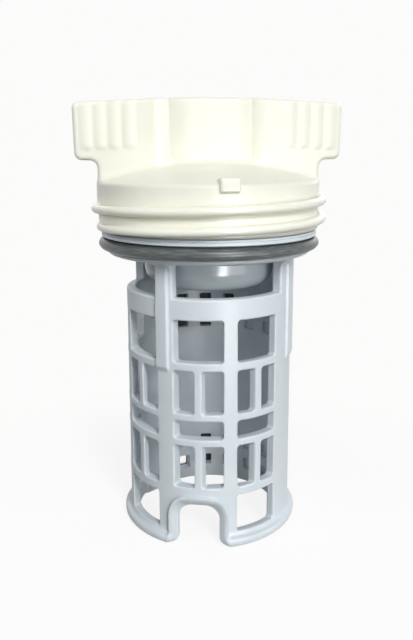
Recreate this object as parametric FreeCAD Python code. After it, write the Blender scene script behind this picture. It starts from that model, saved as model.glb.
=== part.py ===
"""Drain pump filter of a washing machine: screw cap with grip bar, seal ring and lattice strainer.

The part stands on its foot at z = 0 with its axis on Z. The grip bar runs along X.
Azimuths start at the front (-Y) and grow towards +X. Lattice azimuths count from the ribbed post.
"""
import os
import math
import FreeCAD, Part
from FreeCAD import Vector

# Heights of the lattice rings above the foot
RING_1 = (55.1, 59.9)
RING_2 = (43.45, 45.25)
RING_3 = (31.5, 33.1)
RING_4 = (25.35, 27.0)
RING_5 = (12.95, 14.9)
SILL_Z = 3.4

# Head of the strainer, stacked up from the open gap over ring 1
GAP_H = 7.7
LEDGE_SLOPE = (0.55, 1.3)
LEDGE_H = 1.35
GROOVE_H = 3.35
DISC_H = 1.1
CAP_GAP = 0.4
HEAD_Z = RING_1[1] + GAP_H
LEDGE_LOW_Z = HEAD_Z - LEDGE_SLOPE[0]
GROOVE_Z = (HEAD_Z + LEDGE_H, HEAD_Z + LEDGE_H + GROOVE_H)
DISC_TOP = GROOVE_Z[1] + DISC_H
CAP_Z = DISC_TOP + CAP_GAP

# Head radii, stepped from the bottom of the seal groove
GROOVE_R = 23.3
LEDGE_R = GROOVE_R + 0.9
DISC_R = GROOVE_R + 2.3
DISC_STEP = 1.0
SPIGOT_R = GROOVE_R - 1.0
SPIGOT_WALL = 1.8
SPIGOT_H = 5.0
HEAD_FLOOR = 2.0

# Strainer wall, foot and plug
WALL_TOP_R = 20.0
WALL_FOOT_R = 20.5
BORE_R = 17.5
FOOT_R = 22.2
FOOT_ROUND = 1.1
FLARE_Z = 5.2
FOOT_LIP = (16.6, 1.5)
PLUG_R = 15.6
PLUG_WALL = 1.8
PLUG_LIFT = 0.4
PLUG_Z = RING_1[1] + PLUG_LIFT
PLUG_ROUND = 4.4

# Lattice plan
LATTICE_TURN = -35.3
POST_HALF = 6.0
NEAR_WINDOW = (6.0, 39.2)
FAR_WINDOW = (49.1, 80.2)
BAR_HALF = 2.35
SIDE_SLIDE = 84.0
CORNER_R = 0.8
RIB_RAISE = 0.62
RIB_FOOT_Z = 43.3
FRONT_RIB = (-6.3, 3.1)
SIDE_RIB = (87.0, 107.0)

# Notch in the foot
NOTCH_AT = (NEAR_WINDOW[0] + NEAR_WINDOW[1]) / 2
NOTCH_OUTER = (7.7, 12.2)
NOTCH_INNER = (4.9, 8.8)
NOTCH_OUTER_R = 21.6
NOTCH_INNER_R = 17.0
NOTCH_ROUND = 3.4
NOTCH_FLARE = 0.7
LIP_W = 1.6

# Slots in the back wall
SLOT_AXIS = 182.0
SLOT_PITCH = 20.8
SLOT_COUNT = 6
SLOT_W = 3.0
SLOT_ROWS = ((3.4, 6.4), (9.5, 12.6), (44.7, 47.7), (50.8, 53.9))
SLOT_LEFT = 0.7
SEE_THROUGH_Z = (3.8, 6.4)

# Seal ring, pressed a little into its groove
SEAL_SECTION_R = 1.5
SEAL_SQUEEZE = 0.1
SEAL_SIDES = 14
SEAL_OUTER_R = GROOVE_R + 2 * SEAL_SECTION_R - SEAL_SQUEEZE
SEAL_Z = GROOVE_Z[0] + SEAL_SECTION_R - SEAL_SQUEEZE

# Cap
COLLAR_WALL = 3.15
COLLAR_R = SPIGOT_R + COLLAR_WALL
COLLAR_H = 11.05
COLLAR_EDGE = 0.5
RIM_Z = CAP_Z + COLLAR_H
SHOULDER_H = 4.3
CAVITY_H = 8.8
THREAD_LEAD = 4.1
THREAD_H = 2.3
THREAD_CREST_R = COLLAR_R + THREAD_H
THREAD_BASE = 2.5
THREAD_SUNK = 0.6
THREAD_REF_H = 4.7
THREAD_REF_AT = -95.0
THREAD_START = -125.0
THREAD_END = 535.0
THREAD_RUN = 70.0
THREAD_STEP = 15.0
LUG_AT = 4.6
LUG_W = 4.2
LUG_Z = (RIM_Z - 1.6, RIM_Z + 1.3)
LUG_OUT = 0.85
LUG_ROOT = 2.85
LUG_ROUND = 0.5

# Grip bar of the cap
BAR_H = 18.3
BAR_TOP = RIM_Z + BAR_H
BAR_END_DROP = 0.75
BAR_FOOT_H = 3.2
WING_H = 13.65
WING_LOW_Z = BAR_TOP - WING_H
NECK_X = COLLAR_R + 0.4
NECK_BEND_H = 7.2
WING_REACH = 5.25
WING_LOW_X = NECK_X + WING_REACH
WING_TOP_X = WING_LOW_X + 0.15
WING_CORNER = 1.2
NECK_FILLET = 1.9
DRUM_Y = 7.0
DRUM_FLAT_X = 4.4
DRUM_ROUND = 7.4
VALLEY_X = 9.4
WING_CREST = (12.6, 6.2)
WING_TIP_Y = 1.9
FLUTE_COUNT = 4
FLUTE_PITCH = 3.23
FLUTE_END_GAP = 3.45
FLUTE_R = 1.5
FLUTE_RAISE = 0.3
FLUTE_TOP_GAP = 0.25
FLUTE_H = 10.15

AXIS = Vector(0, 0, 1)
ORIGIN = Vector(0, 0, 0)


def wall_r(z):
    """Outer radius of the tapered wall at height z."""
    t = (z - FLARE_Z) / (HEAD_Z - FLARE_Z)
    return WALL_FOOT_R + (WALL_TOP_R - WALL_FOOT_R) * t


def at(radius, azimuth, z):
    """Point at a radius and an azimuth in degrees."""
    a = math.radians(azimuth)
    return Vector(radius * math.sin(a), -radius * math.cos(a), z)


def profile_face(items):
    """Face in the XZ plane from corner points (x, z) and arcs given by a middle point."""
    edges = []
    last = Vector(items[0][0], 0, items[0][1])
    first = last
    for item in items[1:] + [items[0]]:
        if len(item) == 4:
            end = Vector(item[2], 0, item[3])
            edges.append(Part.Arc(last, Vector(item[0], 0, item[1]), end).toShape())
        else:
            end = Vector(item[0], 0, item[1])
            if end.distanceToPoint(last) > 1e-6:
                edges.append(Part.makeLine(last, end))
        last = end
    return Part.Face(Part.Wire(edges))


def arc_mid(cx, cz, radius, degrees):
    """Point (x, z) on a circle in the XZ plane."""
    a = math.radians(degrees)
    return (cx + radius * math.cos(a), cz + radius * math.sin(a))


def turned(face):
    """Full solid of revolution about Z."""
    return face.revolve(ORIGIN, AXIS, 360)


def sector(points, start, end):
    """Solid swept by an (r, z) outline from one azimuth to another."""
    wire = Part.makePolygon([at(r, start, z) for r, z in points + [points[0]]])
    return Part.Face(wire).revolve(ORIGIN, AXIS, end - start)


def ring(r0, r1, z0, z1):
    """Plain ring about Z."""
    body = Part.makeCylinder(r1, z1 - z0, Vector(0, 0, z0))
    return body.cut(Part.makeCylinder(r0, z1 - z0 + 2, Vector(0, 0, z0 - 1)))


def window(start, end, z0, z1, slide):
    """Opening between two azimuths, straight along the direction in which its mould slide leaves."""
    radius = wall_r((z0 + z1) / 2)
    x0 = radius * math.sin(math.radians(start - slide))
    x1 = radius * math.sin(math.radians(end - slide))
    near = BORE_R * math.cos(math.radians(max(abs(start - slide), abs(end - slide)))) - 3.5
    box = Part.makeBox(x1 - x0, FOOT_R + 4 - near, z1 - z0, Vector(x0, -FOOT_R - 4, z0))
    along = [e for e in box.Edges if abs(e.Vertexes[0].Y - e.Vertexes[1].Y) > 1]
    box = box.makeFillet(CORNER_R, along)
    box.rotate(ORIGIN, AXIS, slide)
    return box


def bays():
    """Openings of the lattice on both sides of the ribbed post."""
    cuts = []
    for side in (1, -1):
        for span, slide in ((NEAR_WINDOW, 0.0), (FAR_WINDOW, SIDE_SLIDE)):
            middle = (span[0] + span[1]) / 2
            halves = ((span[0], middle - BAR_HALF), (middle + BAR_HALF, span[1]))
            rows = [(span, RING_2[1], RING_1[0]), (span, RING_4[1], RING_3[0])]
            for half in halves:
                rows.append((half, RING_3[1], RING_2[0]))
                rows.append((half, RING_5[1], RING_4[0]))
            if not (side == 1 and span == NEAR_WINDOW):
                rows.append((span, SILL_Z, RING_5[0]))
            for pair, z0, z1 in rows:
                ends = sorted((side * pair[0], side * pair[1]))
                cuts.append(window(ends[0], ends[1], z0, z1, side * slide))
    for side in (1, -1):
        ends = sorted((side * POST_HALF, side * FAR_WINDOW[1]))
        block = [(PLUG_R + 1.2, RING_1[1]), (DISC_R, RING_1[1]), (DISC_R, HEAD_Z), (PLUG_R + 1.2, HEAD_Z)]
        cuts.append(sector(block, ends[0], ends[1]))
    return cuts


def arch(half, top, corner, radius, foot_flare):
    """Closed arch outline facing -Y at a distance from the axis."""
    y = -radius
    low = -1.0
    c = corner * math.sqrt(0.5)
    pts = []
    if foot_flare:
        pts += [Vector(-half - foot_flare, y, low)]
        pts += [Vector(-half - foot_flare * 0.55, y, foot_flare * 0.25)]
    pts += [Vector(-half, y, low if not foot_flare else foot_flare)]
    pts += [Vector(-half, y, top - corner)]
    left = Part.makePolygon(pts).Edges
    bend = Vector(-half + corner - c, y, top - corner + c)
    arc_l = Part.Arc(pts[-1], bend, Vector(-half + corner, y, top))
    flat = Part.makeLine(Vector(-half + corner, y, top), Vector(half - corner, y, top))
    start_r = Vector(half, y, top - corner)
    arc_r = Part.Arc(Vector(half - corner, y, top), Vector(half - corner + c, y, top - corner + c), start_r)
    right = Part.makePolygon([Vector(-p.x, p.y, p.z) for p in reversed(pts)]).Edges
    base = Part.makeLine(Vector(-pts[0].x, y, low), pts[0])
    return Part.Wire(left + [arc_l.toShape(), flat, arc_r.toShape()] + right + [base])


def notch_solid(grow, flare):
    """Tapered arch body, wide outside and narrow inside, larger by grow."""
    slope_w = (NOTCH_OUTER[0] - NOTCH_INNER[0]) / (NOTCH_OUTER_R - NOTCH_INNER_R)
    slope_z = (NOTCH_OUTER[1] - NOTCH_INNER[1]) / (NOTCH_OUTER_R - NOTCH_INNER_R)
    wires = []
    for radius in (NOTCH_OUTER_R + 3, NOTCH_INNER_R - 2):
        half = NOTCH_OUTER[0] + (radius - NOTCH_OUTER_R) * slope_w + grow
        top = NOTCH_OUTER[1] + (radius - NOTCH_OUTER_R) * slope_z + grow * 0.8
        wires.append(arch(half, top, min(NOTCH_ROUND + grow, half - 0.5), radius, flare))
    return Part.makeLoft(wires, True, True)


def make_strainer():
    """Lattice strainer with head, seal groove and closed plug."""
    mid = arc_mid(FOOT_R - FOOT_ROUND, FOOT_ROUND, FOOT_ROUND, -45)
    lift = FOOT_ROUND + 1.2
    plug_in = PLUG_R - PLUG_WALL
    out_mid = arc_mid(PLUG_R - PLUG_ROUND, PLUG_Z + PLUG_ROUND, PLUG_ROUND, -45)
    outline = [
        (BORE_R, 0.0),
        (FOOT_R - FOOT_ROUND, 0.0),
        mid + (FOOT_R, FOOT_ROUND),
        (FOOT_R, lift),
        (wall_r(FLARE_Z) + 0.6, (lift + FLARE_Z) / 2),
        (wall_r(FLARE_Z), FLARE_Z),
        (wall_r(LEDGE_LOW_Z - 0.8), LEDGE_LOW_Z - 0.8),
        (WALL_TOP_R + 0.9, LEDGE_LOW_Z),
        (LEDGE_R, LEDGE_LOW_Z + LEDGE_SLOPE[1]),
        (LEDGE_R, GROOVE_Z[0]),
        (GROOVE_R, GROOVE_Z[0]),
        (GROOVE_R, GROOVE_Z[1]),
        (DISC_R, GROOVE_Z[1]),
        (DISC_R, DISC_TOP),
        (DISC_R - DISC_STEP, DISC_TOP),
        (DISC_R - DISC_STEP, CAP_Z),
        (SPIGOT_R, CAP_Z),
        (SPIGOT_R, CAP_Z + SPIGOT_H),
        (SPIGOT_R - SPIGOT_WALL, CAP_Z + SPIGOT_H),
        (SPIGOT_R - SPIGOT_WALL, CAP_Z - HEAD_FLOOR),
        (plug_in, CAP_Z - HEAD_FLOOR),
        (plug_in, PLUG_Z + PLUG_ROUND),
        (PLUG_R - PLUG_ROUND, PLUG_Z + PLUG_WALL),
        (0.0, PLUG_Z + PLUG_WALL),
        (0.0, PLUG_Z),
        (PLUG_R - PLUG_ROUND, PLUG_Z),
        out_mid + (PLUG_R, PLUG_Z + PLUG_ROUND),
        (PLUG_R, HEAD_Z),
        (BORE_R, HEAD_Z),
    ]
    body = turned(profile_face(outline))
    ribs = []
    for span in (FRONT_RIB, SIDE_RIB, (-SIDE_RIB[1], -SIDE_RIB[0])):
        top_r = wall_r(HEAD_Z) + RIB_RAISE
        foot_r = wall_r(RIB_FOOT_Z) + RIB_RAISE
        points = [
            (BORE_R + 0.4, RIB_FOOT_Z - 0.3),
            (foot_r - RIB_RAISE - 0.05, RIB_FOOT_Z - 0.3),
            (foot_r, RIB_FOOT_Z + 1.1),
            (top_r, LEDGE_LOW_Z + 0.4),
            (BORE_R + 0.4, LEDGE_LOW_Z + 0.4),
        ]
        ribs.append(sector(points, span[0], span[1]))
    lip = notch_solid(LIP_W, 0.0).common(ring(NOTCH_INNER_R, NOTCH_OUTER_R, 0, RING_5[0] + 2))
    lip.rotate(ORIGIN, AXIS, NOTCH_AT)
    lip_r = (FOOT_LIP[0], BORE_R + 0.5)
    back_lip = [(lip_r[0], 0.0), (lip_r[1], 0.0), (lip_r[1], FOOT_LIP[1]), (lip_r[0], FOOT_LIP[1])]
    back = sector(back_lip, FAR_WINDOW[1], 360 - FAR_WINDOW[1])
    body = body.fuse(ribs + [lip, back])
    notch = notch_solid(0.0, NOTCH_FLARE)
    notch.rotate(ORIGIN, AXIS, NOTCH_AT)
    cuts = bays() + [notch]
    for k in range(SLOT_COUNT):
        turn = SLOT_AXIS + (k - (SLOT_COUNT - 1) / 2) * SLOT_PITCH
        for z0, z1 in SLOT_ROWS:
            depth = wall_r(z0) - SLOT_LEFT
            cuts.append(slot_box(turn, z0, z1, depth))
        if k == SLOT_COUNT - 1:
            cuts.append(slot_box(turn, SEE_THROUGH_Z[0], SEE_THROUGH_Z[1], FOOT_R + 2))
    body = body.cut(cuts)
    body.rotate(ORIGIN, AXIS, LATTICE_TURN)
    return body


def slot_box(azimuth, z0, z1, reach):
    """Upright slot cut from inside out to a radius."""
    inner = BORE_R - 3
    box = Part.makeBox(SLOT_W, reach - inner, z1 - z0, Vector(-SLOT_W / 2, -reach, z0))
    box.rotate(ORIGIN, AXIS, azimuth)
    return box


def make_seal():
    """Rubber ring of many-sided section, pressed flat on the floor and the wall of its groove."""
    centre = SEAL_OUTER_R - SEAL_SECTION_R
    turns = [360.0 * (k + 0.5) / SEAL_SIDES for k in range(SEAL_SIDES)]
    section = profile_face([arc_mid(centre, SEAL_Z, SEAL_SECTION_R, turn) for turn in turns])
    return turned(section).common(ring(GROOVE_R, SEAL_OUTER_R + 1, GROOVE_Z[0], GROOVE_Z[1]))


def thread_section(azimuth):
    """Closed rounded section of the thread at an azimuth, sunk a little into the collar."""
    run = max(min(azimuth - THREAD_START, THREAD_END - azimuth, THREAD_RUN) / THREAD_RUN, 0.0)
    height = THREAD_H * math.sin(run * math.pi / 2) - 0.4 * THREAD_SUNK * (1 - run)
    half = THREAD_BASE / 2 * (0.55 + 0.45 * run)
    z = CAP_Z + THREAD_REF_H + THREAD_LEAD * (azimuth - THREAD_REF_AT - 360) / 360
    marks = (
        (-THREAD_SUNK, -half),
        (height * 0.5, -half * 0.9),
        (height, -half * 0.35),
        (height, half * 0.35),
        (height * 0.5, half * 0.9),
        (-THREAD_SUNK, half),
    )
    points = [at(COLLAR_R + out, azimuth, z + dz) for out, dz in marks]
    return Part.makePolygon(points + [points[0]])


def make_thread():
    """Coarse rounded thread lofted through its sections, fading out at both ends."""
    steps = int(round((THREAD_END - THREAD_START) / THREAD_STEP))
    turn = (THREAD_END - THREAD_START) / steps
    return Part.makeLoft([thread_section(THREAD_START + turn * k) for k in range(steps + 1)], True)


def bar_plan():
    """Plan outline of the grip bar with its drum and swept wings."""
    turn = math.asin((VALLEY_X - DRUM_FLAT_X) / DRUM_ROUND)
    valley_y = DRUM_Y - DRUM_ROUND * (1 - math.cos(turn))
    half_x = DRUM_FLAT_X + DRUM_ROUND * math.sin(turn / 2)
    half_y = DRUM_Y - DRUM_ROUND * (1 - math.cos(turn / 2))
    tip = WING_TOP_X + 0.6
    crest_in = (VALLEY_X + 1.1, (valley_y + WING_CREST[1]) / 2 + 0.25)
    edges = []

    def add_side(sx, sy):
        a = Vector(sx * DRUM_FLAT_X, sy * DRUM_Y, 0)
        b = Vector(sx * half_x, sy * half_y, 0)
        c = Vector(sx * VALLEY_X, sy * valley_y, 0)
        d = Vector(sx * crest_in[0], sy * crest_in[1], 0)
        e = Vector(sx * WING_CREST[0], sy * WING_CREST[1], 0)
        f = Vector(sx * tip, sy * WING_TIP_Y, 0)
        return [Part.Arc(a, b, c).toShape(), Part.Arc(c, d, e).toShape(), Part.makeLine(e, f)]

    edges += [Part.makeLine(Vector(-DRUM_FLAT_X, -DRUM_Y, 0), Vector(DRUM_FLAT_X, -DRUM_Y, 0))]
    edges += add_side(1, -1)
    edges += [Part.makeLine(Vector(tip, -WING_TIP_Y, 0), Vector(tip, WING_TIP_Y, 0))]
    edges += add_side(1, 1)
    edges += [Part.makeLine(Vector(DRUM_FLAT_X, DRUM_Y, 0), Vector(-DRUM_FLAT_X, DRUM_Y, 0))]
    edges += add_side(-1, 1)
    edges += [Part.makeLine(Vector(-tip, WING_TIP_Y, 0), Vector(-tip, -WING_TIP_Y, 0))]
    edges += add_side(-1, -1)
    return Part.Face(Part.Wire(Part.__sortEdges__(edges)))


def bar_front():
    """Front outline of the grip bar: arched top, wings, neck and foot blade."""
    end_z = BAR_TOP - BAR_END_DROP
    c = WING_CORNER
    k = 1 - math.sqrt(0.5)
    low = WING_LOW_Z
    f = NECK_FILLET
    right = [
        (VALLEY_X, BAR_TOP),
        (WING_TOP_X - c, end_z),
        (WING_TOP_X - c * k, end_z - c * k, WING_TOP_X, end_z - c),
        (WING_LOW_X, low + c),
        (WING_LOW_X - c * k, low + c * k, WING_LOW_X - c, low),
        (NECK_X + f, low),
        (NECK_X + f * k, low - f * k, NECK_X, low - f),
        (NECK_X + 0.15, CAP_Z + NECK_BEND_H),
        (COLLAR_R - 0.4, CAP_Z + BAR_FOOT_H),
    ]
    left = []
    pts = list(reversed(right))
    for i, item in enumerate(pts):
        nxt = pts[i - 1] if i else None
        end = item[-2:]
        if nxt is not None and len(nxt) == 4:
            left.append((-nxt[0], nxt[1], -end[0], end[1]))
        else:
            left.append((-end[0], end[1]))
    return profile_face(right + left)


def make_cap():
    """Screw cap: collar, thread, domed shoulder, stop lug and grip bar."""
    e = COLLAR_EDGE
    shoulder_r = COLLAR_R - e
    dome_r = (shoulder_r ** 2 + SHOULDER_H ** 2) / (2 * SHOULDER_H)
    dome_turn = math.degrees(math.asin(shoulder_r / dome_r))
    dome_mid = arc_mid(0.0, RIM_Z + SHOULDER_H - dome_r, dome_r, 90 - dome_turn / 2)
    outline = [
        (0.0, CAP_Z),
        (COLLAR_R - e, CAP_Z),
        (COLLAR_R, CAP_Z + e),
        (COLLAR_R, RIM_Z - e),
        (shoulder_r, RIM_Z),
        dome_mid + (0.0, RIM_Z + SHOULDER_H),
    ]
    body = turned(profile_face(outline))
    plan = bar_plan()
    plan.translate(Vector(0, 0, CAP_Z + BAR_FOOT_H - 1))
    block = plan.extrude(Vector(0, 0, BAR_TOP - CAP_Z - BAR_FOOT_H + 3))
    front = bar_front()
    front.translate(Vector(0, -DRUM_Y - 2, 0))
    bar = block.common(front.extrude(Vector(0, 2 * DRUM_Y + 4, 0)))
    flutes = []
    sweep = (WING_CREST[1] - WING_TIP_Y) / (WING_TOP_X + 0.6 - WING_CREST[0])
    for k in range(FLUTE_COUNT):
        x = WING_TOP_X - FLUTE_END_GAP - FLUTE_PITCH * k
        y = WING_CREST[1] - sweep * (x - WING_CREST[0]) + FLUTE_RAISE - FLUTE_R
        top = BAR_TOP - BAR_END_DROP * (x - VALLEY_X) / (WING_TOP_X - VALLEY_X) - FLUTE_TOP_GAP
        for sx in (1, -1):
            for sy in (1, -1):
                flutes.append(Part.makeCylinder(FLUTE_R, FLUTE_H, Vector(sx * x, sy * y, top - FLUTE_H)))
    lug_out_r = COLLAR_R + LUG_OUT
    corner = Vector(-LUG_W / 2, -lug_out_r, LUG_Z[0])
    lug = Part.makeBox(LUG_W, LUG_OUT + LUG_ROOT, LUG_Z[1] - LUG_Z[0], corner)
    lug = lug.makeFillet(LUG_ROUND, [x for x in lug.Edges if x.BoundBox.YMax < -lug_out_r + 0.1])
    lug.rotate(ORIGIN, AXIS, LUG_AT)
    body = body.fuse([bar, make_thread(), lug] + flutes)
    cavity = Part.makeCylinder(SPIGOT_R, CAVITY_H + 1, Vector(0, 0, CAP_Z - 1))
    below = Part.makeCylinder(THREAD_CREST_R + 1, THREAD_LEAD, Vector(0, 0, CAP_Z - THREAD_LEAD))
    return body.cut([cavity, below])


def save(shape, name):
    """Write one clean solid as a STEP file."""
    shape = shape.removeSplitter()
    solids = shape.Solids
    print(name, "solids", len(solids), "valid", shape.isValid(), "volume", round(shape.Volume, 1))
    solids[0].exportStep("parts/" + name + ".step")


os.makedirs("parts", exist_ok=True)
save(make_strainer(), "strainer")
save(make_seal(), "seal_ring")
save(make_cap(), "cap")
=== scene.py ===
import math

import bpy
import numpy as np
from mathutils import Matrix


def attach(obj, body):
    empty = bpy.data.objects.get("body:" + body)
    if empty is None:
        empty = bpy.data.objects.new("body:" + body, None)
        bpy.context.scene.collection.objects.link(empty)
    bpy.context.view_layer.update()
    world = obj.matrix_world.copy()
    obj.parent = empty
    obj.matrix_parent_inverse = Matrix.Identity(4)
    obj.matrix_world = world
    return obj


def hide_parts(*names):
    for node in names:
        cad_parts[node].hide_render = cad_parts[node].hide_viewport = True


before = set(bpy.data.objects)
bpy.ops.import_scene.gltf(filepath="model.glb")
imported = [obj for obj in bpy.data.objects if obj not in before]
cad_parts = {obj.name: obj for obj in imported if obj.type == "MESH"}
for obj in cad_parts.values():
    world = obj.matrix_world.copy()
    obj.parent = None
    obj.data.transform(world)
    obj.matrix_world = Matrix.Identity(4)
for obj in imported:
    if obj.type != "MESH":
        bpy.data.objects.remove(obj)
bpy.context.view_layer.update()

# The strainer's wall: a tapered tube of light blue-grey polypropylene, moulded in one shot with its
# windows, ribs, foot and ledge. Slides pulled straight out left the windows, so their side faces run
# along the slide. Sizes are in millimetres, azimuths in degrees from the rib at the front.
LATTICE_TURN = -35.3
BORE_R = 17.5
FOOT_WALL_R, FOOT_WALL_Z = 20.5, 5.2
TOP_WALL_R, HEAD_Z = 20.0, 67.6
SEAT_Z = 69.15
RINGS = ((55.1, 59.9), (43.45, 45.25), (31.5, 33.1), (25.35, 27.0), (12.95, 14.9))
FULL_ROWS = ((RINGS[1][1], RINGS[0][0]), (RINGS[3][1], RINGS[2][0]))
BARRED_ROWS = ((RINGS[2][1], RINGS[1][0]), (RINGS[4][1], RINGS[3][0]))
SILL_Z = 3.4
NEAR_WINDOW = (6.0, 39.2)
FAR_WINDOW = (49.1, 80.2)
LEFT_WINDOW_END = 78.6
RIGHT_GAP_END = 86.2
BAR_HALF = 2.35
WINDOW_CORNER = 0.75
SIDE_SLIDE = 84.0
SLIDE_FROM = 8.0
RIBS = ((-6.3, 3.1), (94.5, 110.0), (-107.0, -87.0))
RIB_STANDS = 0.62
RIB_FOOT_Z = 43.0
FOOT_R, FOOT_HIGH = 22.05, 2.4
LEDGE_R = 24.15
LEDGE_UNDER = (20.9, 67.05)
LEDGE_SLOPE = (0.3665, 0.9304)
NOTCH_AT = (NEAR_WINDOW[0] + NEAR_WINDOW[1]) / 2
NOTCH_HALF, NOTCH_TOP, NOTCH_CORNER = 8.1, 12.3, 3.4
LIP_R, LIP_WIDE = 21.6, 1.5
REVEAL = ((-3.0, 0.0, 2.1, 5.0), (-3.0, 0.0, 3.1, 3.5), (-2.0, 0.0, 1.95, 2.2))
LEG_ROUND = 2.0
SLOT_ROWS = ((3.4, 6.4), (9.5, 12.6), (44.7, 47.7), (50.8, 53.9))
SLOT_COLUMNS, SLOT_MIDDLE, SLOT_STEP = 6, 182.0, 20.8
SLOT_HALF, SLOT_CORNER = 1.5, 0.3
SLOT_SKIN = 0.7


def cut_edge(a, b, k):
    """Inside of both fields, the edge between them turned to radius k: the distance to the corner, less k."""
    return np.minimum(-k, np.maximum(a, b)) + np.hypot(np.maximum(a + k, 0), np.maximum(b + k, 0))


def grown_on(a, b, k):
    """Inside of either field, with a hollow fillet of radius k where they meet."""
    return np.maximum(k, np.minimum(a, b)) - np.hypot(np.maximum(k - a, 0), np.maximum(k - b, 0))


def rounded_box(u, v, corner):
    """Flat rounded rectangle from the signed distances u and v past its sides."""
    u = u + corner
    v = v + corner
    return np.hypot(np.maximum(u, 0), np.maximum(v, 0)) + np.minimum(np.maximum(u, v), 0) - corner


def ramp(x, start, end):
    """Straight rise from 0 at the start to 1 at the end, level before and after."""
    return np.clip((x - start) / (end - start), 0, 1)


def from_plane(az, r, at):
    """Distance past an upright plane through the axis at an azimuth, towards greater azimuths."""
    return r * np.sin(np.radians(az - at))


def ahead_of_axis(az, r, at):
    """Distance in front of the axis, along an azimuth."""
    return r * np.cos(np.radians(az - at))


def wall_r(z):
    """Outer radius of the tapered wall: a straight line between its foot and its head."""
    return FOOT_WALL_R + (TOP_WALL_R - FOOT_WALL_R) * (z - FOOT_WALL_Z) / (HEAD_Z - FOOT_WALL_Z)


def past_row(z, z0, z1):
    """Distance above or below a row between two heights."""
    return np.abs(z - (z0 + z1) / 2) - (z1 - z0) / 2


def windows(az, r, z):
    """All openings of the lattice: rounded rectangles across the slide's direction. The nearest one counts,
    and each ends short of the axis."""
    nearest = np.full(np.broadcast(az, r, z).shape, 9.0)
    for side in (1, -1):
        for span, slide in ((NEAR_WINDOW, 0.0), (FAR_WINDOW, SIDE_SLIDE)):
            across = r * np.sin(np.radians(az - side * slide))
            ahead = r * np.cos(np.radians(az - side * slide))
            middle = (span[0] + span[1]) / 2
            openings = [(span, z0, z1) for z0, z1 in FULL_ROWS]
            for half in ((span[0], middle - BAR_HALF), (middle + BAR_HALF, span[1])):
                openings += [(half, z0, z1) for z0, z1 in BARRED_ROWS]
            if side < 0 or span is FAR_WINDOW:
                openings.append((span, SILL_Z, RINGS[4][0]))
            for ends, z0, z1 in openings:
                radius = wall_r((z0 + z1) / 2)
                ends = [min(end, LEFT_WINDOW_END) if side < 0 else end for end in ends]
                x0, x1 = sorted(radius * math.sin(math.radians(side * (end - slide))) for end in ends)
                face = rounded_box(np.abs(across - (x0 + x1) / 2) - (x1 - x0) / 2, past_row(z, z0, z1),
                                   WINDOW_CORNER)
                nearest = np.minimum(nearest, np.maximum(face, SLIDE_FROM - ahead))
    return nearest


def arch(az, r, z, grow):
    """Arched notch over the foot, larger by grow: a rounded rectangle whose half width and top shrink in
    straight runs with the depth behind the lip's face, so that the reveal narrows inwards."""
    ahead = ahead_of_axis(az, r, NOTCH_AT)
    deep = LIP_R - ahead
    half = NOTCH_HALF - np.interp(deep, REVEAL[0], REVEAL[1]) + grow
    top = NOTCH_TOP - np.interp(deep, REVEAL[0], REVEAL[2]) + grow * 0.8
    opening = rounded_box(np.abs(from_plane(az, r, NOTCH_AT)) - half, z - top, NOTCH_CORNER + grow)
    return np.maximum(0.65 * opening, SLIDE_FROM - ahead)


def back_slots(az, r, z):
    """Slots in the back wall, cut from inside: three columns are shallow, and three stop just short of the
    outer skin. The lowest slot of the last column goes through."""
    nearest = np.full(np.broadcast(az, r, z).shape, 9.0)
    for k in range(SLOT_COLUMNS):
        turn = SLOT_MIDDLE + (k - (SLOT_COLUMNS - 1) / 2) * SLOT_STEP
        across = np.abs(from_plane(az, r, turn)) - SLOT_HALF
        ahead = ahead_of_axis(az, r, turn)
        for z0, z1 in SLOT_ROWS:
            face = rounded_box(across, past_row(z, z0, z1), SLOT_CORNER)
            floor_at = wall_r(z0) - SLOT_SKIN if k > 2 else BORE_R + 0.8
            nearest = np.minimum(nearest, np.maximum(np.maximum(face, ahead - floor_at), SLIDE_FROM - ahead))
    through = rounded_box(across, np.abs(z - 4.55) - 1.85, SLOT_CORNER)
    return np.minimum(nearest, np.maximum(through, SLIDE_FROM - ahead))


def outer_skin(az, r, z):
    """Field of all that lies within the outside: the tapered wall with foot, ledge, ribs and the notch's lip
    grown on, cut level at the seat and rounded under the foot."""
    skin = r - wall_r(z)
    skin = grown_on(skin, cut_edge(r - FOOT_R, z - FOOT_HIGH, 0.7), 1.1)
    ledge = (r - LEDGE_UNDER[0]) * LEDGE_SLOPE[0] - (z - LEDGE_UNDER[1]) * LEDGE_SLOPE[1]
    skin = grown_on(skin, cut_edge(ledge, r - LEDGE_R, 0.35), 1.1)
    chamfer = (RIB_FOOT_Z - z) * 0.75 + (r - wall_r(z)) * 0.9
    for start, end in RIBS:
        rib = np.maximum(from_plane(az, r, end), -from_plane(az, r, start))
        rib = cut_edge(cut_edge(r - wall_r(z) - RIB_STANDS, rib, 0.45), chamfer, 0.4)
        skin = grown_on(skin, np.maximum(rib, SLIDE_FROM - ahead_of_axis(az, r, (start + end) / 2)), 0.4)
    skin = grown_on(skin, cut_edge(arch(az, r, z, LIP_WIDE), r - LIP_R, 0.45), 0.6)
    return cut_edge(cut_edge(skin, z - SEAT_Z, 0.2), -z, 1.3)


def bore_r(az, z):
    """Radius of the bore: wider by up to 0.95 where the foot and the right bays are thin, by a smooth step,
    and narrower by up to 0.8 at the back of the foot."""
    side = np.abs(az)
    thin = ramp(z, 13.0, 10.0) + 0.6 * ramp(az, 38.0, 50.0) * ramp(z, 58.5, 56.5)
    thin = np.clip(thin, 0, 1) * np.where(az > 0, ramp(side, 105.0, 95.0), ramp(side, 81.0, 78.0))
    thick = ramp(z, 4.5, 0.0) * ramp(side, 82.0, 88.0) * (1 - thin)
    return BORE_R + 0.95 * thin * thin * (3 - 2 * thin) - 0.8 * thick


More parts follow.
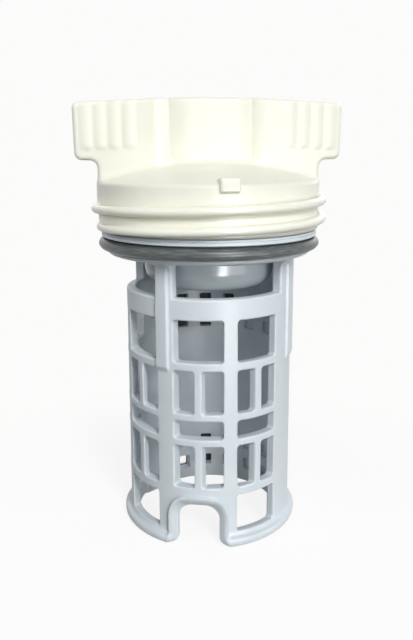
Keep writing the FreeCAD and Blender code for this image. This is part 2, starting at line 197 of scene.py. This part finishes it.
def lattice(az, r, z):
    """Field of the wall, negative inside: the skin less bore, gap, windows, notch and slots, every cut with a
    small rounded edge. The bars are hollowed from behind, and the notch's legs flare out at the bottom."""
    side = np.abs(az)
    body = cut_edge(outer_skin(az, r, z), bore_r(az, z) - r, 0.3)
    gap_end = np.where(az > 0, from_plane(az, r, RIGHT_GAP_END), from_plane(-az, r, FAR_WINDOW[1]))
    gap = np.maximum(np.maximum(-from_plane(side, r, NEAR_WINDOW[0]), gap_end),
                     np.maximum(RINGS[0][1] - z, z - HEAD_Z))
    body = cut_edge(body, -gap, 0.5)
    body = cut_edge(body, -windows(az, r, z) - 0.08, 0.38)
    for span in (NEAR_WINDOW, FAR_WINDOW):
        middle = (span[0] + span[1]) / 2
        for z0, z1 in BARRED_ROWS:
            behind = rounded_box(np.abs(from_plane(side, r, middle)) - BAR_HALF - 0.25,
                                 past_row(z, z0, z1) - 0.1, 0.6)
            behind = np.maximum(behind, SLIDE_FROM - ahead_of_axis(side, r, middle))
            body = cut_edge(body, -np.maximum(behind, r - BORE_R - 1.0), 0.3)
    flare = LEG_ROUND - np.sqrt(LEG_ROUND ** 2 - np.clip(LEG_ROUND - z, 0, 1.85) ** 2)
    body = cut_edge(body, flare - arch(az, r, z, 0.0), 0.5)
    body = np.maximum(body, -z)
    return cut_edge(body, -back_slots(az, r, z), 0.15)


def net(values, wrap):
    """Surface net of a field on a grid: one point in each cell that the surface crosses, at the mean of
    its crossings, and one quad around each crossed edge. The first axis is closed to a ring where wrap is
    true. Returns points in grid steps, and quads."""
    inside = values < 0
    if wrap:
        values = np.concatenate([values, values[:1]])
        inside = np.concatenate([inside, inside[:1]])
    n = np.array(values.shape) - 1
    corners = [(i, j, k) for i in (0, 1) for j in (0, 1) for k in (0, 1)]
    held = sum(inside[i:n[0] + i, j:n[1] + j, k:n[2] + k].astype(np.int8) for i, j, k in corners)
    cells = np.argwhere((held > 0) & (held < 8))
    number = np.full(n, -1, np.int64)
    number[tuple(cells.T)] = np.arange(len(cells))
    total = np.zeros((len(cells), 3))
    count = np.zeros(len(cells))
    for a in range(8):
        for axis in range(3):
            b = a | (4 >> axis)
            if b == a:
                continue
            from_corner, to_corner = np.array(corners[a]), np.array(corners[b])
            from_value = values[tuple((cells + from_corner).T)]
            to_value = values[tuple((cells + to_corner).T)]
            hit = (from_value < 0) != (to_value < 0)
            t = np.where(hit, from_value / np.where(hit, from_value - to_value, 1.0), 0.0)
            total += np.where(hit[:, None], from_corner + t[:, None] * (to_corner - from_corner), 0.0)
            count += hit
    quads = []
    step = np.eye(3, dtype=int)
    for axis in range(3):
        u, v = [d for d in range(3) if d != axis]
        size = n + 1 - step[axis]
        low = inside[:size[0], :size[1], :size[2]]
        high = inside[tuple(slice(step[axis][d], None) for d in range(3))]
        crossed = np.argwhere(low != high)
        for d in (u, v):
            keep = crossed[:, d] < n[d]
            if not (wrap and d == 0):
                keep &= crossed[:, d] > 0
            crossed = crossed[keep]
        ring = []
        for du, dv in ((1, 1), (0, 1), (0, 0), (1, 0)):
            cell = crossed - du * step[u] - dv * step[v]
            cell[:, 0] %= n[0]
            ring.append(number[tuple(cell.T)])
        ring = np.stack(ring, 1)
        flip = low[tuple(crossed.T)] == (axis == 1)
        ring[flip] = ring[flip][:, ::-1]
        quads.append(ring)
    quads = np.concatenate(quads)
    return cells + total / count[:, None], quads[(quads >= 0).all(1)]


def around_axis(az, r, z):
    """Point at an azimuth from the front towards +X, in metres."""
    a = np.radians(az)
    return np.stack([r * np.sin(a), -r * np.cos(a), z], -1) / 1000


def settled(field, place, p):
    """Points moved onto the field's surface along its slope, three times, and the unit slope there. The
    slope is the field's change over a small step, divided by how far place, which turns field coordinates
    into metres, moves over the same step."""
    step = 0.004
    for _ in range(3):
        rate = np.zeros((len(p), 3))
        width = np.zeros((len(p), 3))
        for d in range(3):
            after, before = p.copy(), p.copy()
            after[:, d] += step
            before[:, d] -= step
            rate[:, d] = field(*after.T) - field(*before.T)
            width[:, d] = np.linalg.norm(place(*after.T) - place(*before.T), axis=1) * 1000
        slope = rate / width
        steep = np.maximum((slope ** 2).sum(1), 0.25)
        move = -field(*p.T)[:, None] * slope / steep[:, None]
        length = np.maximum(np.linalg.norm(move, axis=1), 1e-9)[:, None]
        move *= np.minimum(length, 0.15) / length
        p = p + move * (2 * step) / width
    normal = place(*(p + slope * (2 * step) / width).T) - place(*p.T)
    return p, normal / np.linalg.norm(normal, axis=1)[:, None]


def shown(name, points, faces, normals, material, second=None, where=None):
    """A mesh in metres with its own point normals, smooth all over, riding on the part's one body.
    Faces where the mask says so take the second material."""
    used = np.unique(faces)
    index = np.zeros(len(points), np.int64)
    index[used] = np.arange(len(used))
    mesh = bpy.data.meshes.new(name)
    mesh.from_pydata(points[used], [], index[faces])
    mesh.polygons.foreach_set("use_smooth", np.ones(len(faces), bool))
    mesh.materials.append(material)
    if second:
        mesh.materials.append(second)
        mesh.polygons.foreach_set("material_index", where.astype(np.int32))
    mesh.update()
    mesh.normals_split_custom_set_from_vertices(normals[used])
    piece = bpy.data.objects.new(name, mesh)
    bpy.context.scene.collection.objects.link(piece)
    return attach(piece, "root")


def speckle(tree, vector, scale, detail):
    """Noise over a vector socket, as a socket from 0 to 1."""
    noise = tree.nodes.new("ShaderNodeTexNoise")
    noise.inputs["Scale"].default_value = scale
    noise.inputs["Detail"].default_value = detail
    tree.links.new(vector, noise.inputs["Vector"])
    return noise.outputs["Fac"]


def two_tone(tree, value, starts, colours, target):
    """A blend of two colours between two levels of a value, put into a colour socket."""
    tones = tree.nodes.new("ShaderNodeValToRGB")
    for element, start, colour in zip(tones.color_ramp.elements, starts, colours):
        element.position = start
        element.color = [*colour, 1]
    tree.links.new(value, tones.inputs["Fac"])
    tree.links.new(tones.outputs["Color"], target)


def rescaled(tree, value, low, high, target):
    """A value from 0 to 1 brought to the range from low to high, put into a socket."""
    scale = tree.nodes.new("ShaderNodeMapRange")
    scale.inputs["To Min"].default_value = low
    scale.inputs["To Max"].default_value = high
    tree.links.new(value, scale.inputs["Value"])
    tree.links.new(scale.outputs["Result"], target)


def moulded(name, colour, rough, grain, sheen_spread):
    """Injection-moulded plastic: a faint cloudy colour, a fine spark-eroded grain as bump, and a slightly
    uneven gloss. grain is the bump's depth in metres and sheen_spread the range of the roughness."""
    mat = bpy.data.materials.new(name)
    mat.use_nodes = True
    tree = mat.node_tree
    shader = tree.nodes["Principled BSDF"]
    place = tree.nodes.new("ShaderNodeTexCoord").outputs["Object"]
    cloud = speckle(tree, place, 90.0, 3.0)
    shades = [c * 0.975 for c in colour], [min(c * 1.02, 1.0) for c in colour]
    two_tone(tree, cloud, (0.3, 0.7), shades, shader.inputs["Base Color"])
    rescaled(tree, cloud, rough - sheen_spread, rough + sheen_spread, shader.inputs["Roughness"])
    bump = tree.nodes.new("ShaderNodeBump")
    bump.inputs["Distance"].default_value = grain
    bump.inputs["Strength"].default_value = 0.35
    tree.links.new(speckle(tree, place, 1400.0, 2.0), bump.inputs["Height"])
    tree.links.new(bump.outputs["Normal"], shader.inputs["Normal"])
    return mat


grey_plastic = moulded("blue_grey_plastic", (0.62, 0.68, 0.72), 0.42, 0.00006, 0.05)
# Near-black painted shade for the floors of the deep slots in the back wall; the plastic itself is the same
# grey.
painted_slot_shade = moulded("shadowed_recess", (0.035, 0.040, 0.045), 0.70, 0.00006, 0.05)
lattice_az = np.concatenate([np.arange(-90.0, 90.0, 0.5), np.arange(90.0, 270.0, 0.9)])
lattice_r = np.arange(16.2, 25.0, 0.3)
lattice_z = np.arange(-0.35, 69.4, 0.35)
signed_az = np.where(lattice_az > 180, lattice_az - 360, lattice_az)
lattice_values = lattice(signed_az[:, None, None], lattice_r[None, :, None], lattice_z[None, None, :])
points, faces = net(lattice_values, True)
faces = faces[:, ::-1]
axes = (np.append(lattice_az, 270.0), lattice_r, lattice_z)
points = np.stack([np.interp(points[:, d], np.arange(len(axes[d])), axes[d]) for d in range(3)], 1)
points[:, 0] = np.where(points[:, 0] > 180, points[:, 0] - 360, points[:, 0])
points, normals = settled(lattice, lambda a, r, z: around_axis(a + LATTICE_TURN, r, z), points)
places = around_axis(points[:, 0] + LATTICE_TURN, points[:, 1], points[:, 2])
face_az, face_z = points[faces[:, 0], 0], points[faces[:, 0], 2]
middle = points[faces].mean(1)
middle[:, 0] = face_az
# The floors of the deep back slots take the painted shade, a near-black material standing in for the shade
# inside them; their side faces keep the grey.
slot_floor = np.abs(middle[:, 1] - wall_r(middle[:, 2]) + SLOT_SKIN - 0.05) < 0.25
painted_shade_faces = (back_slots(*middle.T) < 0.2) & slot_floor & ((face_az < -100) | (face_az > 178))
front = np.abs(face_az) < 90.0
above = face_z > (RINGS[2][0] + RINGS[2][1]) / 2
for name, part in (("lattice_front_top", front & above), ("lattice_front_foot", front & ~above),
                   ("lattice_back", ~front)):
    piece = shown(name, places, faces[part], normals, grey_plastic, painted_slot_shade, painted_shade_faces[part])
    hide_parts("strainer")

# The strainer's head and plug: the same moulding goes on above the ledge with the seal's groove, the
# disc, the spigot that carries the cap, and the closed plug that hangs into the tube. The plug's side
# of the mould was polished. Its profile is radius, height and the corner's rounding.
head_profile = [
    (0.02, 60.3, 0), (15.6, 60.3, 4.4), (15.6, 67.6, 0.4), (18.6, 67.6, 0), (18.6, 68.4, 0), (23.3, 68.4, 0),
    (23.3, 72.3, 0.1), (25.6, 72.3, 0.12), (25.6, 73.0, 0.1), (25.35, 73.02, 0), (25.35, 73.1, 0),
    (25.55, 73.15, 0.05), (25.4, 73.55, 0.1), (24.6, 73.6, 0.1), (24.6, 73.8, 0),
    (22.3, 73.8, 0), (22.3, 78.8, 0.3), (20.5, 78.8, 0.3), (20.5, 71.8, 0.4), (13.8, 71.8, 0.4),
    (13.8, 62.1, 2.6), (0.02, 62.1, 0),
]
PLUG_WITHIN_R, PLUG_BELOW_Z = 0.0157, 0.0676


def rounded_line(corners):
    """Closed profile with its corners turned to their radii: each corner becomes an arc that starts and
    ends on its two sides. Returns the points and the outward normals."""
    line, outward = [], []
    for k in range(len(corners)):
        here = np.array(corners[k][:2], float)
        back = np.array(corners[k - 1][:2], float) - here
        on = np.array(corners[(k + 1) % len(corners)][:2], float) - here
        back /= np.linalg.norm(back)
        on /= np.linalg.norm(on)
        n0 = np.array([-back[1], back[0]])
        n1 = np.array([on[1], -on[0]])
        radius = corners[k][2]
        if radius == 0:
            line += [here, here]
            outward += [n0, n1]
            continue
        half = math.acos(max(-1.0, min(1.0, float(n0 @ n1)))) / 2
        bulge = 1 if n0[0] * n1[1] - n0[1] * n1[0] > 0 else -1
        centre = here - bulge * (n0 + n1) / np.linalg.norm(n0 + n1) * radius / math.cos(half)
        for t in np.linspace(0, 1, max(3, int(radius * 6) + 3)):
            normal = n0 * math.sin((1 - t) * 2 * half) + n1 * math.sin(t * 2 * half)
            normal = normal / np.linalg.norm(normal)
            line.append(centre + bulge * normal * radius)
            outward.append(normal)
    return np.array(line), np.array(outward)


def spun(line, outward, count):
    """Surface of revolution: a closed profile carried round the axis in equal steps. Returns the points,
    the quads that aren't flat, and the normals."""
    az = np.arange(count) * 360.0 / count
    a = np.radians(az)[:, None]
    points = around_axis(az[:, None], line[None, :, 0], line[None, :, 1] + 0 * az[:, None]).reshape(-1, 3)
    normals = np.stack([outward[:, 0] * np.sin(a), -outward[:, 0] * np.cos(a), outward[:, 1] + 0 * a], -1)
    m = len(line)
    i, j = np.meshgrid(np.arange(count), np.arange(m), indexing="ij")
    i1, j1 = (i + 1) % count, (j + 1) % m
    faces = np.stack([i * m + j, i1 * m + j, i1 * m + j1, i * m + j1], -1).reshape(-1, 4)
    corner = points[faces]
    area = np.linalg.norm(np.cross(corner[:, 2] - corner[:, 0], corner[:, 3] - corner[:, 1]), axis=1)
    return points, faces[area > 1e-13], normals.reshape(-1, 3)


polished = moulded("polished_grey_plastic", (0.50, 0.555, 0.59), 0.23, 0.00006, 0.06)
points, faces, normals = spun(*rounded_line(head_profile), 256)
centre = points[faces].mean(1)
on_plug = (np.hypot(centre[:, 0], centre[:, 1]) < PLUG_WITHIN_R) & (centre[:, 2] < PLUG_BELOW_Z)
head = shown("head_and_plug", points, faces, normals, grey_plastic, polished, on_plug)
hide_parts("strainer")

# The seal: a plain ring of dark grey rubber, stretched over the head into its groove, whose floor
# presses it flat. Its mould left a seam low on the outside, and its skin is dull, dusty and streaked
# along the ring.
SEAL_MIDDLE_R, SEAL_MIDDLE_Z, SEAL_HALF = 24.7, 70.5, 1.6
SEAL_RISE, SEAL_DROP = 1.45, 1.35
GROOVE_R = 23.3
SEAM_AT, SEAM_WIDE, SEAM_DEEP, BELOW_SEAM = 335.0, 5.0, 0.09, 0.07


def worked(tree, operation, first, second):
    """A Math node's result from a socket and a second socket or number."""
    node = tree.nodes.new("ShaderNodeMath")
    node.operation = operation
    tree.links.new(first, node.inputs[0])
    if isinstance(second, float):
        node.inputs[1].default_value = second
    else:
        tree.links.new(second, node.inputs[1])
    return node.outputs[0]


def length_of(tree, vector):
    """The length of a vector socket."""
    node = tree.nodes.new("ShaderNodeVectorMath")
    node.operation = "LENGTH"
    tree.links.new(vector, node.inputs[0])
    return node.outputs["Value"]


rubber = moulded("dark_rubber", (0.078, 0.089, 0.092), 0.36, 0.00008, 0.10)
tree = rubber.node_tree
shader = tree.nodes["Principled BSDF"]
shader.inputs["Specular IOR Level"].default_value = 0.58
split = tree.nodes.new("ShaderNodeSeparateXYZ")
tree.links.new(tree.nodes.new("ShaderNodeTexCoord").outputs["Object"], split.inputs[0])
flat = tree.nodes.new("ShaderNodeCombineXYZ")
tree.links.new(split.outputs["X"], flat.inputs["X"])
tree.links.new(split.outputs["Y"], flat.inputs["Y"])
along = tree.nodes.new("ShaderNodeCombineXYZ")
turned = worked(tree, "ARCTAN2", split.outputs["X"], split.outputs["Y"])
tree.links.new(worked(tree, "MULTIPLY", turned, 0.0022), along.inputs["X"])
tree.links.new(length_of(tree, flat.outputs[0]), along.inputs["Y"])
tree.links.new(split.outputs["Z"], along.inputs["Z"])
streak = speckle(tree, along.outputs[0], 3200.0, 4.0)
two_tone(tree, streak, (0.45, 0.72), ((0.060, 0.069, 0.071), (0.150, 0.165, 0.165)),
         shader.inputs["Base Color"])
rescaled(tree, streak, 0.24, 0.54, shader.inputs["Roughness"])
turn = np.arange(96) * 2 * np.pi / 96
seam = np.exp(-((np.degrees(turn) - SEAM_AT) / SEAM_WIDE) ** 2) * SEAM_DEEP
lower = np.where((turn > np.pi) & (np.degrees(turn) < SEAM_AT), BELOW_SEAM, 0.0)
ring_r = np.maximum(SEAL_MIDDLE_R + (SEAL_HALF - seam - lower) * np.cos(turn), GROOVE_R)
ring_z = SEAL_MIDDLE_Z + np.where(turn < np.pi, SEAL_RISE, SEAL_DROP) * np.sin(turn)
slope_r = np.roll(ring_r, -1) - np.roll(ring_r, 1)
slope_z = np.roll(ring_z, -1) - np.roll(ring_z, 1)
outward = np.stack([slope_z, -slope_r], 1) / np.hypot(slope_r, slope_z)[:, None]
points, faces, normals = spun(np.stack([ring_r, ring_z], 1), outward, 320)
seal = shown("seal_ring_rubber", points, faces, normals, rubber)
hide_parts("seal_ring")

# The cap: one moulding of ivory polypropylene, a little translucent. A collar with a coarse rounded
# thread, nearly twice around, carries a shallow dome, a stop lug at the front and the grip bar with its
# drum and fluted wings.
COLLAR_R = 25.45
CAP_Z = 73.8
RIM_Z = CAP_Z + 11.05
BAR_TOP = RIM_Z + 18.3
WING_LOW_Z = BAR_TOP - 13.65
DOME_HIGH = 4.3
DOME_R = (24.95 ** 2 + DOME_HIGH ** 2) / (2 * DOME_HIGH)
THREAD_RISE, THREAD_PITCH, BEAD_R = 2.29, 4.1, 1.05
DRUM_HALF, DRUM_R, DRUM_FLAT = 7.0, 7.4, 4.4
VALLEY_X, WING_X, WING_HALF, WING_TAPER = 9.4, 12.6, 6.2, 0.2234
BAR_END = 31.25
FLUTES, FLUTE_R, FLUTE_STEP, FLUTE_LONG = 4, 1.5, 3.23, 10.15
CAVITY_R, CAVITY_HIGH = 22.3, 8.8
LUG_TURN = math.radians(4.6)


def bar_half(x):
    """Half thickness of the grip bar over its length: a round-shouldered drum, then wings that taper out."""
    x = np.abs(x)
    drum = DRUM_HALF - DRUM_R + np.sqrt(np.maximum(DRUM_R ** 2 - np.maximum(x - DRUM_FLAT, 0) ** 2, 1.0))
    inner = WING_HALF - 0.115 * np.maximum(WING_X - x, 0) ** 2
    wing = np.where(x < WING_X, inner, WING_HALF - WING_TAPER * (x - WING_X))
    return np.where(x < VALLEY_X, np.maximum(drum, wing), wing)


def threaded(body, r, az, z):
    """The body with the thread grown on: a round bead on a helix, nearly twice around, that rises out of the
    collar and sinks back at its ends. Under the upper lap the collar swells a little, except at the back."""
    for lap in (0.0, 360.0):
        far = az + lap
        run = np.clip(np.minimum(far + 125.0, 535.0 - far) / 70.0, -0.3, 1.0)
        rise = THREAD_RISE * np.maximum(run, 0) - 0.3 + 0.3 * run + 8 * np.minimum(run, 0)
        middle = CAP_Z + 4.7 + THREAD_PITCH * (far - 265.0) / 360
        bead = np.hypot(r - (COLLAR_R + rise - BEAD_R), (z - middle) * 1.03) - BEAD_R
        if lap:
            swell = 0.45 * ramp(az, 175.0, 105.0) * ramp(az, -180.0, -150.0)
            body = grown_on(body, cut_edge(r - COLLAR_R - swell, z - middle, 0.2), 0.2)
            body = cut_edge(body, CAP_Z - z, 0.45)
        body = grown_on(body, bead, 0.3)
    return body


def grip_bar(x, y, z):
    """Field of the grip bar: its plan with half-round flutes on the wings, cut to the outline seen from the
    front, which is two wings over a narrower neck under a top that falls a little to the ends."""
    plan = (np.abs(y) - bar_half(x)) * 0.9
    for k in range(FLUTES):
        fx = BAR_END - 3.45 - FLUTE_STEP * k
        fy = WING_HALF - WING_TAPER * (fx - WING_X) + 0.10 - FLUTE_R
        top = BAR_TOP - 0.75 * (fx - VALLEY_X) / 21.85 - 0.25
        flute = np.hypot(np.abs(x) - fx, np.abs(y) - fy) - FLUTE_R
        flute = cut_edge(flute, np.abs(z - top + FLUTE_LONG / 2) - FLUTE_LONG / 2, 0.8)
        plan = grown_on(plan, flute, 1.0)
    slope = z - BAR_TOP + 0.0343 * np.maximum(np.abs(x) - VALLEY_X, 0)
    edge = 31.1 + 0.15 * (z - WING_LOW_Z) / 13.65
    wing = rounded_box(np.abs(x) - edge, WING_LOW_Z - z, 1.7)
    neck_x = np.interp(z, (77.0, 81.0, 89.0), (25.05, 26.0, 25.85))
    neck = np.maximum(np.abs(x) - neck_x, 77.0 - z)
    outline = cut_edge(grown_on(wing, neck, 1.9), slope, 1.3)
    return cut_edge(plan, outline, 1.0)


def cap_field(x, y, z):
    """Field of the whole cap: collar and dome, thread, bar and lug grown on, less the cavity."""
    r = np.hypot(x, y)
    dome = np.sqrt(r ** 2 + (z - RIM_Z - DOME_HIGH + DOME_R) ** 2) - DOME_R
    body = cut_edge(r - COLLAR_R, dome, 0.55)
    body = cut_edge(body, CAP_Z - z, 0.45)
    body = threaded(body, r, np.degrees(np.arctan2(x, -y)), z)
    body = cut_edge(body, CAP_Z - z, 0.1)
    body = grown_on(body, grip_bar(x, y, z), 1.8)
    u = x * math.cos(LUG_TURN) + y * math.sin(LUG_TURN)
    v = -x * math.sin(LUG_TURN) + y * math.cos(LUG_TURN)
    lug = rounded_box(np.abs(u) - 2.1, np.abs(z - RIM_Z + 0.15) - 1.45, 0.5)
    lug = cut_edge(cut_edge(lug, -v - 26.3, 0.5), v + 22.6, 0.3)
    body = grown_on(body, lug, 0.35)
    cavity = cut_edge(r - CAVITY_R, z - CAP_Z - CAVITY_HIGH, 0.4)
    return cut_edge(body, -cavity, 0.3)


def upright(x, y, z):
    """Point from millimetres to metres."""
    return np.stack([x, y, z], -1) / 1000


ivory_plastic = moulded("ivory_plastic", (0.83, 0.828, 0.732), 0.30, 0.00003, 0.05)
ivory_shader = ivory_plastic.node_tree.nodes["Principled BSDF"]
ivory_shader.inputs["Subsurface Weight"].default_value = 0.25
ivory_shader.inputs["Subsurface Scale"].default_value = 0.003
ivory_shader.inputs["Subsurface Radius"].default_value = (1.0, 0.9, 0.6)
cap_step = 0.34
cap_x = np.arange(-31.8, 31.81, cap_step)
cap_y = np.arange(-28.4, 28.41, cap_step)
cap_z = np.arange(73.5, 103.6, cap_step)
points, faces = net(cap_field(cap_x[:, None, None], cap_y[None, :, None], cap_z[None, None, :]), False)
points = np.array([cap_x[0], cap_y[0], cap_z[0]]) + points * cap_step
points, normals = settled(cap_field, upright, points)
high = points[faces[:, 0], 2] > RIM_Z - 0.6
for name, part in (("cap_grip", high), ("cap_collar", ~high)):
    piece = shown(name, points / 1000, faces[part], normals, ivory_plastic)
    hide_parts("cap")

# The studio: a white paper floor under soft boxes. The picture is overexposed round the part, so the
# floor glows a little for sight and reflections, keeps the soft shadow close to the foot, and turns
# plain white from 3 to 10 cm away, like the surroundings.
PAPER = (0.965, 0.968, 0.960, 1)
FLOOR_SEEN, FLOOR_BOUNCE, FLOOR_GLOW = 0.14, 0.42, 0.86
SHADOW_REACH = (0.03, 0.10)
FILL_LIGHT = 0.06


def in_sight(tree):
    """1 for rays that the camera, a reflection or a transparent piece sees the background by, else 0."""
    rays = tree.nodes.new("ShaderNodeLightPath").outputs
    mirrored = worked(tree, "MAXIMUM", rays["Is Camera Ray"], rays["Is Glossy Ray"])
    return worked(tree, "MAXIMUM", mirrored, rays["Is Transmission Ray"])


paper = bpy.data.materials.new("pale_floor")
paper.use_nodes = True
tree = paper.node_tree
tree.nodes.remove(tree.nodes["Principled BSDF"])
sight = in_sight(tree)
lit = tree.nodes.new("ShaderNodeBsdfDiffuse")
rescaled(tree, sight, FLOOR_BOUNCE, FLOOR_SEEN, lit.inputs["Color"])
glow = tree.nodes.new("ShaderNodeEmission")
glow.inputs["Color"].default_value = (1, 1, 1, 1)
tree.links.new(worked(tree, "MULTIPLY", sight, FLOOR_GLOW), glow.inputs["Strength"])
near = tree.nodes.new("ShaderNodeAddShader")
tree.links.new(lit.outputs[0], near.inputs[0])
tree.links.new(glow.outputs[0], near.inputs[1])
plain = tree.nodes.new("ShaderNodeEmission")
plain.inputs["Color"].default_value = PAPER
tree.links.new(sight, plain.inputs["Strength"])
fade = tree.nodes.new("ShaderNodeMapRange")
fade.interpolation_type = "SMOOTHSTEP"
fade.inputs["From Min"].default_value, fade.inputs["From Max"].default_value = SHADOW_REACH
away = length_of(tree, tree.nodes.new("ShaderNodeTexCoord").outputs["Object"])
tree.links.new(away, fade.inputs["Value"])
blend = tree.nodes.new("ShaderNodeMixShader")
tree.links.new(fade.outputs["Result"], blend.inputs["Fac"])
tree.links.new(near.outputs[0], blend.inputs[1])
tree.links.new(plain.outputs[0], blend.inputs[2])
tree.links.new(blend.outputs[0], tree.nodes["Material Output"].inputs["Surface"])
floor_mesh = bpy.data.meshes.new("floor")
floor_mesh.from_pydata([(-3, -3, 0), (3, -3, 0), (3, 3, 0), (-3, 3, 0)], [], [(0, 1, 2, 3)])
floor_mesh.materials.append(paper)
floor = bpy.data.objects.new("floor", floor_mesh)
floor.location = (0, 0, -0.00005)
bpy.context.scene.collection.objects.link(floor)

world = bpy.data.worlds.new("studio")
bpy.context.scene.world = world
world.use_nodes = True
tree = world.node_tree
fill = tree.nodes["Background"]
fill.inputs["Color"].default_value = (1.0, 1.0, 0.99, 1)
fill.inputs["Strength"].default_value = FILL_LIGHT
white = tree.nodes.new("ShaderNodeBackground")
white.inputs["Color"].default_value = PAPER
pick = tree.nodes.new("ShaderNodeMixShader")
tree.links.new(in_sight(tree), pick.inputs["Fac"])
tree.links.new(fill.outputs[0], pick.inputs[1])
tree.links.new(white.outputs[0], pick.inputs[2])
tree.links.new(pick.outputs[0], tree.nodes["World Output"].inputs["Surface"])


def soft_box(name, turn, rise, far, wide, tall, power):
    """Soft box at a turn from the front towards +X and a rise over the floor, in degrees, facing the part's
    middle. Its distance and size are in metres, its power in watts."""
    data = bpy.data.lights.new(name, "AREA")
    data.shape = "RECTANGLE"
    data.size = wide
    data.size_y = tall
    data.energy = power
    box = bpy.data.objects.new(name, data)
    turn, rise = math.radians(turn), math.radians(rise)
    box.location = (far * math.cos(rise) * math.sin(turn), -far * math.cos(rise) * math.cos(turn),
                    far * math.sin(rise) + 0.05)
    box.rotation_euler = (math.pi / 2 - rise, 0, turn)
    bpy.context.scene.collection.objects.link(box)
    return box


# Key and front light the picture, top and low fill it, and two boxes stand behind. left_near and side
# brighten the flanks and leave no mirror image; spark is only the small highlight on the plug.
soft_box("key", 14, 36, 0.60, 0.12, 0.20, 2.3)
soft_box("front", 22, 8, 0.70, 0.50, 0.40, 1.38)
soft_box("top", 20, 80, 0.60, 0.50, 0.50, 0.12)
soft_box("low", 36, -6, 0.32, 0.30, 0.03, 0.20)
soft_box("back_left", -165, 28, 0.70, 0.50, 0.50, 0.5)
soft_box("back_right", 150, 25, 0.70, 0.50, 0.50, 0.9)
soft_box("left_near", -62, 32, 0.15, 0.06, 0.05, 0.050).visible_glossy = False
soft_box("side", 92, 3, 0.70, 0.40, 0.40, 0.5).visible_glossy = False
soft_box("spark", 18.5, -8.3, 0.20, 0.045, 0.032, 0.15).visible_diffuse = False

# The camera, where the photograph's own was: fitted to the part's edges, a little left of the front,
# above the part's middle, looking down by 13.8 degrees and rolled by a fifth of a degree.
camera = bpy.data.objects.new("camera", bpy.data.cameras.new("camera"))
camera.data.lens = 38.32
camera.data.sensor_width = 36.0
camera.location = (-0.01500, -0.16439, 0.09107)
aim = Matrix.Rotation(math.radians(-5.0), 3, "Z") @ Matrix.Rotation(math.radians(90 - 13.783), 3, "X")
camera.rotation_euler = (aim @ Matrix.Rotation(math.radians(-0.196), 3, "Z")).to_euler()
bpy.context.scene.collection.objects.link(camera)
bpy.context.scene.camera = camera
bpy.context.scene.view_settings.view_transform = "Standard"
